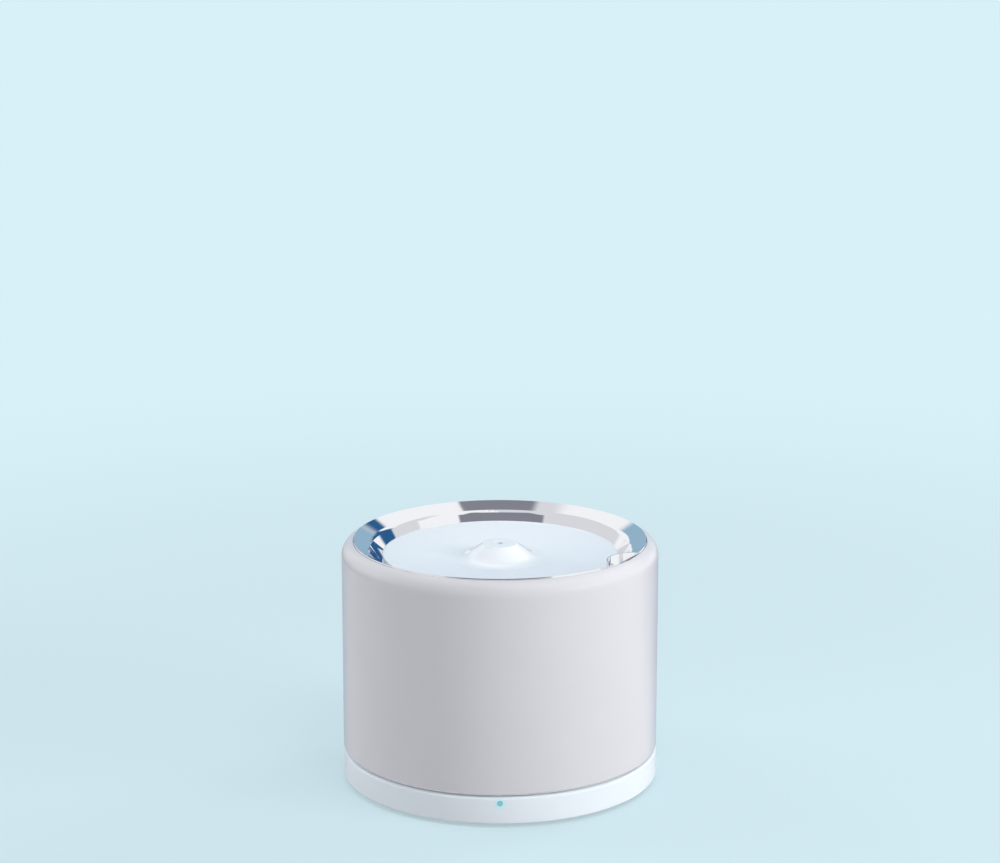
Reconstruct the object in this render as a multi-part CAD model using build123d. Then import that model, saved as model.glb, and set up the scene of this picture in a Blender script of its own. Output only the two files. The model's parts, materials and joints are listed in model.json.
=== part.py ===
"""Pet water fountain: a round base, a steel-lined tank, a wireless pump, a steel bowl, a filter
cover and a spray disc, stacked on one axis.

Millimetres, +Z up. The origin is on the fountain's axis, at the surface that the feet stand on.
Every piece is modelled where it lies in the assembled fountain. -Y is the front, where the
indicator light is, and +Y the rear, where the power inlet is.
"""
from build123d import *
from math import cos, hypot, pi, radians, sin, sqrt, tan
import os

# ---------------------------------------------------------------- driving dimensions
# Clearances
rest_gap = 0.15        # above a piece that another one stands on and is lifted from
slip_gap = 0.30        # around a piece that slips into or over another one
fit_gap = 0.05         # around pins, screws and fixed inserts
spigot_gap = 0.10      # between the pump's spigot and the soft sleeve

# Base
base_radius = 90.0
base_height = 15.6
base_wall = 2.4
base_top_round = 2.0
base_bottom_round = 1.0
plateau_radius = 44.4
plateau_height = 9.5
plateau_flare = 6.2    # how much wider the plateau is at its foot
plateau_plate = 2.0
plateau_foot_round = 3.6
plateau_edge_round = 0.8
base_floor = 2.2
base_floor_recess = 0.5
foot_stand = 2.2       # from the surface up to the base wall's lower edge
foot_radius = 6.8
foot_inset = 11.5      # from the base's edge to a foot's middle
foot_pocket = 0.8
boss_radius = 3.6
boss_gap = 1.4         # around a screw boss
ballast_gap = 1.6      # from the base's wall to the ballast
ballast_width = 19.0
ballast_height = 4.0
ballast_rib = 1.6
ballast_opening = 27.0
board_thickness = 1.6
board_standoff = 3.2
board_post_radius = 2.4
board_tongue = 20.0
board_chip = 11.0
board_chip_height = 1.6
choke_width = 7.7
choke_height = 3.2
capacitor_radius = 1.8
capacitor_height = 4.0
capacitor_pitch = 6.0  # four of them in a row
diode_length = 4.0
diode_depth = 3.0
coil_margin = 5.0      # from the plateau's wall to the transmitter coil
coil_inner = 12.0
coil_thickness = 1.8
coil_groove = 0.4
ferrite_overhang = 2.0
ferrite_thickness = 1.2
light_radius = 1.6
light_below_top = 3.6
socket_width = 8.94
socket_height = 3.26
socket_length = 7.35
socket_wall = 0.35
socket_tongue = 0.7
socket_set_back = 0.8

# Screws, base and tank alike
screw_radius = 1.4
screw_head_radius = 2.9
screw_head_height = 1.6
screw_head_recess = 0.4
screw_thread = 6.0

# Tank
tank_height = 121.4
tank_wall = 2.6
tank_shoulder = 8.5
tank_bottom_round = 1.6
tank_rim_width = 6.4   # from the tank's side to its mouth
tank_neck_inset = 2.7
tank_neck_wall = 2.0
tank_neck_depth = 11.0
tank_lip_step = 1.3
tank_roof = 5.0        # height of the shoulder's solid part
tank_shelf_width = 13.4
tank_shelf = 2.2
tank_shelf_gap = 0.3   # from the shelf up to the liner's floor
tank_stand = 0.6       # gap between base and tank, kept by the pads
tank_plate = 2.2
tank_plate_recess = 0.5
recess_gap = 0.6       # between the base's plateau and the tank's recess
recess_side_gap = 2.8
recess_wall = 2.0
tank_pad_inset = 14.0  # from the screws' circle to the pads' circle
tank_pad_radius = 6.0
tank_pad_pocket = 0.6
seal_section = 0.9

# Steel liner
steel = 0.8
lip_slope = 28.0       # of the liner's lip and of the bowl's lip that rests in it
lip_crest_drop = 0.25  # from the tank's crest down to the lip's edge
liner_neck_gap = 0.9
liner_corner = 6.0
liner_above_recess = 0.2
liner_bead_drop = 2.0
liner_bead = 0.7

# Pump
pump_width = 57.3
pump_depth = 41.5
pump_height = 28.3
pump_wall = 1.8
pump_seam_below_top = 11.1
pump_corner_round = 0.8
pump_edge_round = 0.3
pump_pad_stand = 0.6
pump_pad_pocket = 0.6
pump_pad_radius = 3.0
pump_pad_inset = 6.0
pump_seal_width = 0.8
pump_seal_height = 0.6
spigot_radius = 3.83
spigot_wall = 1.43
spigot_height = 14.75
spigot_round = 1.2
foam_margin = 1.0      # from the pump's side to the strip
foam_width = 9.5
foam_thickness = 2.4
foam_proud = 0.3
foam_drop = 9.4        # how far the strip hangs over the front
foam_end_round = 3.6
foam_backing = 1.2     # wall behind the strip
inlet_slot = 1.6
inlet_slots = 4
volute_radius = 9.6
volute_wall = 1.2
volute_lobe_radius = 4.0
volute_height = 6.8
volute_lid_height = 1.2
volute_headroom = 0.8  # from the volute's lid up to the foam strip's backing
volute_eye_radius = 3.6
can_radius = 6.4
can_wall = 0.8
can_stand = 1.6        # from the driver board up to the can
rotor_gap = 0.4        # around the rotor in its can
impeller_gap = 1.2     # around the impeller in its volute
impeller_plate = 1.0
impeller_height = 4.6
impeller_vanes = 6
impeller_vane = 0.9
impeller_float = 0.4   # axial play of the impeller
impeller_skirt = 0.8
shaft_radius = 0.75
bush_radius = 1.6
bush_height = 1.4
stator_gap = 1.2       # from the stator to the pump's wall
stator_outer = 13.0
stator_yoke = 2.2
stator_teeth = 6
stator_tooth = 2.6
winding_height = 0.9
receiver_margin = 2.4
receiver_inner = 6.5
receiver_thickness = 1.2
receiver_ferrite_thickness = 0.8
driver_margin_x = 1.8
driver_margin_y = 2.4
driver_thickness = 1.2
driver_post_radius = 1.8
driver_chip = 6.0
driver_chip_height = 1.2
driver_switch_length = 8.0
driver_switch_depth = 5.0
driver_switch_height = 2.4
driver_parts_inset = 9.0  # from the board's end to the middle of its chip and switch
driver_can_inset = 17.0   # the same, to its capacitor
driver_can_radius = 2.5
driver_can_height = 5.0

# Bowl
bowl_rim_gap = 0.1     # from the tank's mouth to the bowl's edge
bowl_height = 32.4
bowl_steel = 0.7
bowl_lip_width = 8.4
bowl_ledge_depth = 17.3
bowl_ledge_width = 3.8
bowl_wall_angle = 58.0
bowl_well_draft = 1.6
bowl_lip_round = 4.0
bowl_ledge_round = 4.6
bowl_step_round = 1.2
bowl_floor_round = 3.0
notch_angle = -31.6
notch_depth = 10.8
notch_radius = 15.0
drain_radius = 2.5
drain_circles = (30.0, 46.0)
drain_pitch = 20.5     # from hole to hole along each circle

# Hub, collar and sleeve under the bowl
hub_wall = 1.4         # around the disc's stem
hub_flange_width = 3.9
hub_flange = 2.6
hub_below_cover = 1.0
hub_seal_height = 1.0
hub_seal_section = 2.4
hub_thread_length = 10.5
hub_spout_length = 6.5
hub_spout_wall = 1.3
collar_radius = 14.4
collar_height = 32.7
collar_wall = 2.6
collar_crown = 10.0    # solid upper part that carries the thread
collar_flutes = 30
collar_flute_radius = 1.0
collar_flute_depth = 0.45
collar_notches = 3
collar_notch_width = 8.0
collar_notch_height = 6.0
collar_notch_turn = -53.0
sleeve_wall = 2.5
sleeve_spout_wall = 1.9
sleeve_engagement = 8.9

# Filter
cover_inset = 0.95     # from the foot of the bowl's wall to the cover's edge
cover_lip = 1.2
cover_plate = 1.4
cover_crown = 0.5
drum_gap = 2.85        # from the bowl's well to the drum
drum_draft = 0.7
drum_depth = 9.3
drum_wall = 1.6
filter_tube_gap = 0.5
filter_tube_wall = 1.2
tray_plate = 1.2
tray_hole_radius = 2.0
tray_hole_margin = 3.0  # from the outermost holes to the tray's edge
tray_first_circle = 18.0
tray_circles = 5
tray_first_holes = 12  # on the first circle
tray_more_holes = 6    # on each further one
media_headroom = 0.2
cotton_thickness = 3.2

# Spray disc
disc_overhang = 0.3    # beyond the filter cover's edge
disc_edge = 2.4        # thickness of the upper layer's edge
disc_edge_round = 0.9
disc_lower_inset = 0.8
disc_lower_edge = 1.7
disc_lower_round = 1.5
disc_dish_depth = 2.8
disc_sink = 1.6        # how far both layers lie lower in their middle
disc_rim_width = 1.6
cone_foot_radius = 28.0
cone_top_radius = 9.9
cone_rise = 5.2        # from the disc's rim up to the cone's top
disc_above_cover = 2.6
disc_boss_radius = 9.0
outlet_radius = 4.0
outlet_bore = 1.6
outlet_depth = 2.2
stem_radius = 5.4
stem_bore = 2.6
stem_thread = 0.35
stem_pitch = 2.2
stem_below_rim = 19.7

# ---------------------------------------------------------------- sizes and heights that follow
base_bottom = foot_stand
base_top = base_bottom + base_height
plateau_top = base_top + plateau_height
plateau_foot = plateau_radius + plateau_flare
base_inner = base_radius - base_wall
base_floor_bottom = base_bottom + base_floor_recess
base_floor_top = base_floor_bottom + base_floor
base_screw_head = base_floor_bottom + screw_head_recess
foot_circle = base_radius - foot_inset
ballast_outer = base_inner - ballast_gap
ballast_inner = ballast_outer - ballast_width
ballast_rib_radius = ballast_inner - slip_gap
base_screw_circle = ballast_rib_radius - ballast_rib - boss_gap - boss_radius
board_half = base_screw_circle * sin(radians(45)) - boss_radius - boss_gap
board_bottom = base_floor_top + board_standoff
board_top = board_bottom + board_thickness
coil_outer = plateau_radius - base_wall - coil_margin
coil_top = plateau_top - plateau_plate
coil_bottom = coil_top - coil_thickness
light_height = base_top - light_below_top
light_length = base_radius - board_half
socket_middle = board_top + socket_height / 2
socket_mouth = base_radius - socket_set_back

tank_radius = base_radius
tank_inner = tank_radius - tank_wall
tank_mouth_radius = tank_radius - tank_rim_width
tank_neck_radius = tank_mouth_radius - tank_neck_inset
tank_bottom = base_top + tank_stand
tank_top = tank_bottom + tank_height
tank_plate_bottom = tank_bottom + tank_plate_recess
tank_plate_top = tank_plate_bottom + tank_plate
tank_screw_head = tank_plate_bottom + screw_head_recess
tank_screw_circle = tank_inner - slip_gap - boss_gap * 2 - boss_radius
tank_pad_circle = tank_screw_circle - tank_pad_inset
recess_ceiling = plateau_top + recess_gap
recess_foot = plateau_foot + recess_side_gap
recess_top_radius = plateau_radius + recess_side_gap - recess_gap * plateau_flare / plateau_height
liner_bottom = recess_ceiling + recess_wall + liner_above_recess
liner_floor = liner_bottom + steel
liner_radius = tank_neck_radius - liner_neck_gap
shelf_top = liner_bottom - tank_shelf_gap
shelf_bottom = shelf_top - tank_shelf
shelf_inner = tank_inner - tank_shelf_width
lip_fall = tan(radians(lip_slope))
lip_outer = tank_mouth_radius - 2 * fit_gap - steel * sin(radians(lip_slope))
lip_top = tank_top - lip_crest_drop
neck_seat = lip_top - tank_lip_step

pump_bottom = liner_floor + pump_pad_stand
pump_top = pump_bottom + pump_height
pump_seam = pump_top - pump_seam_below_top
spigot_top = pump_top + spigot_height
spigot_bore = spigot_radius - spigot_wall
pump_floor = pump_bottom + pump_wall
foam_middle = pump_width / 2 - foam_margin - foam_width / 2
foam_bed = pump_top + foam_proud - foam_thickness
foam_bed_front = -pump_depth / 2 - foam_proud + foam_thickness
receiver_outer = pump_depth / 2 - pump_wall - receiver_margin
receiver_top = pump_floor + receiver_thickness
receiver_ferrite_top = receiver_top + receiver_ferrite_thickness
driver_length = pump_width - 2 * (pump_wall + driver_margin_x)
driver_depth = pump_depth - 2 * (pump_wall + driver_margin_y)
driver_bottom = receiver_ferrite_top + slip_gap
driver_top = driver_bottom + driver_thickness
wheel_x = pump_width / 2 - pump_wall - stator_gap - stator_outer
foam_backing_bottom = foam_bed - slip_gap - foam_backing
volute_top = foam_backing_bottom - volute_headroom - volute_lid_height
volute_floor = volute_top - volute_height
can_floor = driver_top + can_stand + can_wall
impeller_bottom = volute_floor + impeller_float
impeller_top = impeller_bottom + impeller_height
magnet_top = impeller_bottom - impeller_skirt
magnet_bottom = can_floor + rotor_gap * 2
magnet_radius = can_radius - can_wall - rotor_gap
stator_bottom = driver_top + can_stand + winding_height
stator_top = volute_floor - volute_wall - slip_gap - winding_height

bowl_radius = tank_mouth_radius - bowl_rim_gap
bowl_lip_edge = bowl_steel * cos(radians(lip_slope))
bowl_rim = lip_top + (bowl_radius - lip_outer) * lip_fall + rest_gap + bowl_lip_edge
bowl_bottom = bowl_rim - bowl_height
bowl_floor = bowl_bottom + bowl_steel
bowl_lip_inner = bowl_radius - bowl_lip_width
bowl_lip_low = bowl_rim - bowl_lip_edge - bowl_lip_width * lip_fall
bowl_ledge = bowl_rim - bowl_ledge_depth
bowl_wall_foot = bowl_lip_inner - (bowl_lip_low - bowl_ledge) / tan(radians(bowl_wall_angle))
bowl_well_top = bowl_wall_foot - bowl_ledge_width
bowl_well_bottom = bowl_well_top - bowl_well_draft
ledge_arc = bowl_ledge_round - bowl_steel
ledge_arc_middle = bowl_wall_foot - bowl_ledge_round * tan(radians(bowl_wall_angle) / 2)

cover_radius = bowl_wall_foot - cover_inset
cover_rise = ledge_arc - sqrt(ledge_arc ** 2 - (cover_radius - ledge_arc_middle) ** 2)
cover_seat = bowl_ledge + bowl_steel + cover_rise + rest_gap
cover_lip_top = cover_seat + cover_lip
cover_top = cover_lip_top + cover_crown
cover_hole_radius = stem_radius + slip_gap
drum_radius = bowl_well_top - bowl_steel - drum_gap
drum_bottom = cover_lip_top - drum_depth
tray_radius = drum_radius - drum_draft - drum_wall - slip_gap
tray_top = drum_bottom + tray_plate
media_top = cover_lip_top - cover_plate - media_headroom
media_split = tray_top + cotton_thickness

disc_radius = cover_radius + disc_overhang
disc_bottom = cover_lip_top + disc_above_cover
disc_split = disc_bottom + disc_lower_edge
disc_top = disc_split + disc_edge
disc_dish = disc_top - disc_dish_depth
disc_lower_radius = disc_radius - disc_lower_inset
cone_top = disc_top + cone_rise
stem_bottom = disc_top - stem_below_rim
stem_top = disc_split - disc_sink

hub_tube_radius = stem_radius + slip_gap + hub_wall
hub_flange_radius = hub_tube_radius + hub_flange_width
hub_top = cover_top - cover_plate - hub_below_cover
hub_flange_bottom = bowl_floor + hub_seal_height
hub_flange_top = hub_flange_bottom + hub_flange
hub_thread_bottom = bowl_bottom - hub_thread_length
hub_spout_bottom = hub_thread_bottom - hub_spout_length
sleeve_radius = spigot_radius + spigot_gap + sleeve_wall
hub_spout_radius = sleeve_radius - sleeve_spout_wall
hub_bore = hub_spout_radius - hub_spout_wall
sleeve_bottom = spigot_top - sleeve_engagement
collar_bottom = bowl_bottom - collar_height
collar_cavity_radius = collar_radius - collar_wall
filter_tube_inner = hub_tube_radius + filter_tube_gap
filter_tube_outer = filter_tube_inner + filter_tube_wall

STANDING = (Align.CENTER, Align.CENTER, Align.MIN)


# ---------------------------------------------------------------- shapes used by several pieces
def outline(points):
    """Closed flat outline of (across, up) or (across, up, rounding) corners."""
    corners = [(point[0], point[1]) for point in points]
    rounding = [point[2] if len(point) > 2 else 0.0 for point in points]
    return make_face(FilletPolyline(*corners, radius=rounding, close=True))


def turned(points):
    """Solid turned about the Z axis from an outline of (radius, height, rounding) corners."""
    return revolve(Plane.XZ * outline(points), Axis.Z)


def sheet_outline(points, thickness):
    """Outline of a bent sheet: a line of (radius, height, rounding) and its copy to the left."""
    flat = [(point[0], point[1]) for point in points]
    rounding = [point[2] if len(point) > 2 else 0.0 for point in points]
    lines = []
    for start, end in zip(flat, flat[1:]):
        length = hypot(end[0] - start[0], end[1] - start[1])
        along = ((end[0] - start[0]) / length, (end[1] - start[1]) / length)
        left = (-along[1] * thickness, along[0] * thickness)
        lines.append(((start[0] + left[0], start[1] + left[1]), along))
    copied = [lines[0][0]]
    copied_rounding = [0.0]
    for (place, along), (next_place, next_along), corner in zip(lines, lines[1:], rounding[1:]):
        turn = along[0] * next_along[1] - along[1] * next_along[0]
        gap = (next_place[0] - place[0], next_place[1] - place[1])
        travel = (gap[0] * next_along[1] - gap[1] * next_along[0]) / turn
        copied.append((place[0] + along[0] * travel, place[1] + along[1] * travel))
        copied_rounding.append(max(corner + (thickness if turn < 0 else -thickness), 0.0))
    last = flat[-1]
    left = (-lines[-1][1][1] * thickness, lines[-1][1][0] * thickness)
    copied.append((last[0] + left[0], last[1] + left[1]))
    copied_rounding.append(0.0)
    there = [(x, y, r) for (x, y), r in zip(flat, rounding)]
    back = [(x, y, r) for (x, y), r in zip(copied, copied_rounding)]
    return there + back[::-1]


def post(radius, bottom, top, x=0.0, y=0.0):
    """Upright cylinder."""
    return Pos(x, y, bottom) * Cylinder(radius, top - bottom, align=STANDING)


def ring(outer, inner, bottom, top, x=0.0, y=0.0):
    """Upright tube."""
    return post(outer, bottom, top, x, y) - post(inner, bottom - 1, top + 1, x, y)


def block(length, depth, bottom, top, x=0.0, y=0.0):
    """Upright box, centred on x and y."""
    return Pos(x, y, bottom) * Box(length, depth, top - bottom, align=STANDING)


def around(shape, radius, count, start=0.0):
    """Copies of a shape on a circle about the Z axis."""
    return [place * shape for place in PolarLocations(radius, count, start)]


def screws(circle, head_bottom, start):
    """Four pan-head screws, pointing up, on one circle."""
    head_top = head_bottom + screw_head_height
    screw = post(screw_head_radius, head_bottom, head_top)
    screw += post(screw_radius, head_top - 0.2, head_top + screw_thread)
    screw = chamfer(screw.edges().filter_by(GeomType.CIRCLE).sort_by(Axis.Z)[-1], screw_radius * 0.4)
    drive = Pos(0, 0, head_bottom) * Box(screw_head_radius * 1.1, screw_radius * 0.4, screw_head_height)
    screw -= drive + Rot(0, 0, 90) * drive
    return Compound(around(screw, circle, 4, start))


def screw_holes(circle, head_bottom, start):
    """Clearance for those screws."""
    head_top = head_bottom + screw_head_height
    hole = post(screw_head_radius + slip_gap, head_bottom - 5, head_top)
    hole += post(screw_radius + fit_gap, head_top - 1, head_top + screw_thread + 1)
    return around(hole, circle, 4, start)


# ---------------------------------------------------------------- base
def base_top_cover():
    """Moulded cover with the raised plateau that powers the pump through the tank's floor."""
    cover = turned([
        (0, plateau_top),
        (plateau_radius, plateau_top, plateau_edge_round),
        (plateau_foot, base_top, plateau_foot_round),
        (base_radius, base_top, base_top_round),
        (base_radius, base_bottom, base_bottom_round),
        (base_inner, base_bottom),
        (base_inner, base_top - base_wall, 1.0),
        (plateau_foot - base_wall, base_top - base_wall, 1.0),
        (plateau_radius - base_wall, plateau_top - plateau_plate, 0.5),
        (0, plateau_top - plateau_plate),
    ])
    cover += around(post(boss_radius, base_floor_top, base_top - base_wall / 2), base_screw_circle, 4, 45)
    cover -= screw_holes(base_screw_circle, base_screw_head, 45)
    return cover - light_rod(light_radius + fit_gap) - socket_body(slip_gap)


def board_posts():
    """Places of the four posts under the transmitter board."""
    reach = board_half - board_post_radius - 1
    return [(x, y) for x in (-reach, reach) for y in (-reach, reach)]


def base_bottom_cover():
    """Tray that closes the base from below and carries the ballast and the board."""
    tray = post(base_inner - slip_gap, base_floor_bottom, base_floor_top)
    rib = ring(ballast_rib_radius, ballast_rib_radius - ballast_rib, base_floor_top,
               base_floor_top + ballast_height / 2)
    tray += rib - block(ballast_opening, base_radius, base_floor_top, board_bottom, 0, base_radius)
    tray += [post(board_post_radius, base_floor_top, board_bottom, x, y) for x, y in board_posts()]
    tray -= screw_holes(base_screw_circle, base_screw_head, 45)
    pocket = post(foot_radius + fit_gap, 0, base_floor_bottom + foot_pocket)
    return tray - around(pocket, foot_circle, 4, 45)


def base_feet():
    """Four rubber feet, each stuck in a round pocket of the tray."""
    foot = post(foot_radius, 0, base_floor_bottom + foot_pocket)
    foot = fillet(foot.edges().filter_by(GeomType.CIRCLE).sort_by(Axis.Z)[0], 0.6)
    return Compound(around(foot, foot_circle, 4, 45))


def base_screws():
    """Screws that hold the tray to the cover's bosses."""
    return screws(base_screw_circle, base_screw_head, 45)


def base_weight():
    """Open steel ring that keeps the base on the floor; its gap lets the board's tongue through."""
    weight = ring(ballast_outer, ballast_inner, base_floor_top, base_floor_top + ballast_height)
    return weight - block(ballast_opening, base_radius, 0, board_top, 0, base_radius)


def transmitter_board():
    """Circuit board with the coil's driver parts, the light and the tongue under the power inlet."""
    board = block(2 * board_half, 2 * board_half, board_bottom, board_top)
    tongue_end = base_inner - 2 * slip_gap
    board += block(board_tongue, tongue_end, board_bottom, board_top, 0, tongue_end / 2)
    board += block(board_chip, board_chip, board_top, board_top + board_chip_height, -board_half / 2, 4)
    board += block(choke_width, choke_width, board_top, board_top + choke_height, board_half / 2, 8)
    board += [post(capacitor_radius, board_top, board_top + capacitor_height, place * capacitor_pitch, -9)
              for place in (-1.5, -0.5, 0.5, 1.5)]
    diode_top = light_height + light_radius
    return board + block(diode_length, diode_depth, board_top, diode_top, 0, diode_depth / 2 - board_half)


def transmitter_ferrite():
    """Ferrite plate that turns the coil's field upwards."""
    return post(coil_outer + ferrite_overhang, coil_bottom - ferrite_thickness, coil_bottom)


def flat_coil(outer, inner, bottom, top, turns):
    """Flat coil: a ring with a groove between its turns."""
    pitch = (outer - inner) / turns
    middles = [inner + turn * pitch for turn in range(1, turns)]
    grooves = [ring(middle + coil_groove / 2, middle - coil_groove / 2, top - coil_groove, top + 1)
               for middle in middles]
    return ring(outer, inner, bottom, top) - grooves


def transmitter_coil():
    """Flat copper coil, stuck under the plateau's plate."""
    return flat_coil(coil_outer, coil_inner, coil_bottom, coil_top, 12)


def light_rod(radius):
    """The light guide's straight rod along Y, from the board to the front of the base."""
    rod = Cylinder(radius, light_length, align=STANDING)
    return Pos(0, -board_half, light_height) * Rot(90, 0, 0) * rod


def led_light_pipe():
    """Clear rod that carries the indicator's light to the front of the base."""
    return light_rod(light_radius) & post(base_radius, base_bottom, base_top)


def socket_body(gap=0.0):
    """Outer shape of the power inlet's shell, lying on the board, or the hole for it."""
    height = socket_height + 2 * gap
    face = RectangleRounded(socket_width + 2 * gap, height, height / 2 - 0.01)
    mouth = base_radius + 1 if gap else socket_mouth
    length = mouth - socket_mouth + socket_length + gap
    return Pos(0, mouth, socket_middle) * Rot(90, 0, 0) * extrude(face, length)


def power_socket():
    """Power inlet: a pressed shell with a contact tongue in its mouth."""
    inner_height = socket_height - 2 * socket_wall
    inner = RectangleRounded(socket_width - 2 * socket_wall, inner_height, inner_height / 2 - 0.01)
    hollow = Pos(0, socket_mouth, socket_middle) * Rot(90, 0, 0) * extrude(inner, socket_length - 1)
    tongue = block(socket_width * 0.74, socket_length - 1.4, socket_middle - socket_tongue / 2,
                   socket_middle + socket_tongue / 2, 0, socket_mouth - socket_length / 2 - 0.3)
    return socket_body() - hollow + tongue


# ---------------------------------------------------------------- tank
def tank_outer_shell():
    """Moulded outer wall with a rolled shoulder, a neck for the liner and a shelf inside."""
    neck_low = neck_seat - tank_neck_inset * lip_fall
    neck_outer = tank_neck_radius + tank_neck_wall
    shell = turned([
        (tank_radius, tank_bottom, tank_bottom_round),
        (tank_radius, tank_top, tank_shoulder),
        (tank_neck_radius, tank_top),
        (tank_neck_radius, tank_top - tank_neck_depth),
        (neck_outer, tank_top - tank_neck_depth),
        (neck_outer, tank_top - tank_roof),
        (tank_inner, tank_top - tank_roof - 2.5, 1.5),
        (tank_inner, shelf_top),
        (shelf_inner, shelf_top),
        (shelf_inner, shelf_bottom),
        (tank_inner, shelf_bottom),
        (tank_inner, tank_bottom),
    ])
    shell -= turned([
        (0, neck_low),
        (tank_neck_radius, neck_low),
        (tank_mouth_radius, neck_seat),
        (tank_mouth_radius, tank_top + 1),
        (0, tank_top + 1),
    ])
    shell += around(post(boss_radius, tank_plate_top, shelf_bottom + tank_shelf / 2), tank_screw_circle, 4)
    return shell - screw_holes(tank_screw_circle, tank_screw_head, 0)


def tank_bottom_plate():
    """Plate that closes the tank's double wall, with the recess that fits over the plateau."""
    plate_radius = tank_inner - slip_gap
    plate = turned([
        (0, recess_ceiling),
        (recess_top_radius, recess_ceiling, 1.0),
        (recess_foot, tank_plate_bottom),
        (plate_radius, tank_plate_bottom, 0.4),
        (plate_radius, tank_plate_top),
        (recess_foot + recess_wall, tank_plate_top, 1.0),
        (recess_top_radius + recess_wall, recess_ceiling + recess_wall, 2.0),
        (0, recess_ceiling + recess_wall),
    ])
    pocket = post(tank_pad_radius + fit_gap, base_top, tank_plate_bottom + tank_pad_pocket)
    plate -= around(pocket, tank_pad_circle, 4, 45)
    return plate - screw_holes(tank_screw_circle, tank_screw_head, 0)


def tank_pads():
    """Four thin rubber pads that the tank stands on."""
    pad = post(tank_pad_radius, base_top, tank_plate_bottom + tank_pad_pocket)
    return Compound(around(pad, tank_pad_circle, 4, 45))


def tank_screws():
    """Screws that hold the plate to the shell's bosses."""
    return screws(tank_screw_circle, tank_screw_head, 0)


def lip_surface(radius):
    """Height of the liner's lip at a radius, on its upper side."""
    return lip_top + (radius - lip_outer) * lip_fall


def tank_rim_seal():
    """Soft ring between the shell's neck and the flared lip of the liner."""
    outer = tank_mouth_radius - fit_gap
    inner = outer - seal_section
    lip_thickness = steel / cos(radians(lip_slope)) + fit_gap
    seat = neck_seat - tank_mouth_radius * lip_fall + 2 * fit_gap
    return turned([
        (outer, seat + outer * lip_fall),
        (outer, lip_surface(outer) - lip_thickness),
        (inner, lip_surface(inner) - lip_thickness),
        (inner, seat + inner * lip_fall),
    ])


def tank_steel_liner():
    """Deep-drawn steel bucket with a flared lip that the bowl rests on."""
    wall = liner_radius - steel
    neck = wall + liner_bead
    return turned(sheet_outline([
        (0, liner_floor),
        (wall, liner_floor, liner_corner),
        (wall, lip_surface(neck) - liner_bead_drop - liner_bead, 0.9),
        (neck, lip_surface(neck) - liner_bead_drop, 0.5),
        (neck, lip_surface(neck), 0.6),
        (lip_outer, lip_top),
    ], -steel))


# ---------------------------------------------------------------- pump
def pump_box(grow, bottom, top):
    """The pump's rectangle with rounded corners, grown outwards or inwards."""
    plan = RectangleRounded(pump_width + 2 * grow, pump_depth + 2 * grow, pump_corner_round)
    return Pos(0, 0, bottom) * extrude(plan, top - bottom)


def foam_solid(gap):
    """The bent foam strip, over the top from the rear edge and down the front, or the bed for it."""
    beyond = 2 if gap else 0
    up = pump_top + foam_proud + beyond
    rear = pump_depth / 2 + beyond
    front = -pump_depth / 2 - foam_proud - beyond
    width = foam_width + 2 * gap
    hanging = foam_bed_front + gap - front
    strip = block(width, rear - front, foam_bed - gap, up, foam_middle, (rear + front) / 2)
    strip += block(width, hanging, pump_top - foam_drop - gap, up, foam_middle, front + hanging / 2)
    ends = strip.edges().filter_by(Axis.Y).sort_by(Axis.Z)[:2]
    return fillet(ends, foam_end_round)


def pump_upper_housing():
    """Upper half of the pump: top plate with the outlet spigot and the slots under the foam."""
    housing = pump_box(0, pump_seam, pump_top)
    housing = fillet(housing.faces().sort_by(Axis.Z)[-1].edges(), pump_edge_round)
    width = foam_width + 2 * (slip_gap + foam_backing)
    behind = slip_gap + foam_backing
    hollow = pump_box(-pump_wall, pump_seam - 1, pump_top - pump_wall)
    hollow -= block(width, pump_depth, foam_bed - behind, pump_top, foam_middle)
    front_depth = foam_bed_front + behind + pump_depth / 2
    hollow -= block(width, front_depth, pump_seam - 1, pump_top, foam_middle, front_depth / 2 - pump_depth / 2)
    housing = housing - hollow - foam_solid(slip_gap)
    spigot = post(spigot_radius, volute_top + volute_lid_height / 2, spigot_top)
    spigot = fillet(spigot.edges().filter_by(GeomType.CIRCLE).sort_by(Axis.Z)[-1], spigot_round)
    housing = housing + spigot - post(spigot_bore, pump_seam - 1, spigot_top + 1)
    pitch = pump_depth / 2 / (inlet_slots - 1)
    return housing - [block(foam_width * 0.7, inlet_slot, pump_seam, pump_top, foam_middle,
                            -pump_depth / 4 + slot * pitch) for slot in range(inlet_slots)]


def pump_lower_housing():
    """Lower half: a tray for the coil, the board and the motor."""
    seam = pump_seam - fit_gap
    housing = pump_box(0, pump_bottom, seam) - pump_box(-pump_wall, pump_floor, seam + 1)
    middle = -pump_wall / 2
    groove = pump_box(middle + pump_seal_width / 2, seam - pump_seal_height, seam + 1)
    housing -= groove - pump_box(middle - pump_seal_width / 2, seam - 5, seam + 2)
    housing += [post(driver_post_radius, pump_floor, driver_bottom, x, y) for x, y in driver_posts()]
    return housing - [post(pump_pad_radius + fit_gap, liner_floor, pump_bottom + pump_pad_pocket, x, y)
                      for x, y in pump_pad_places()]


def pump_housing_seal():
    """Rubber cord in the groove of the lower half, pressed by the upper one."""
    outer = -pump_wall / 2 + pump_seal_width / 2 - fit_gap
    inner = -pump_wall / 2 - pump_seal_width / 2 + fit_gap
    bottom = pump_seam - pump_seal_height
    return pump_box(outer, bottom, pump_seam) - pump_box(inner, bottom - 1, pump_seam + 1)


def pump_pad_places():
    """Corners where the pump's pads are stuck."""
    across = pump_width / 2 - pump_pad_inset
    along = pump_depth / 2 - pump_pad_inset
    return [(x, y) for x in (-across, across) for y in (-along, along)]


def pump_pads():
    """Rubber pads that keep the pump off the steel floor and quiet."""
    return Compound([post(pump_pad_radius, liner_floor, pump_bottom + pump_pad_pocket, x, y)
                     for x, y in pump_pad_places()])


def inlet_foam():
    """Open-cell foam strip that keeps hair out of the inlet slots."""
    return foam_solid(0.0)


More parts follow.
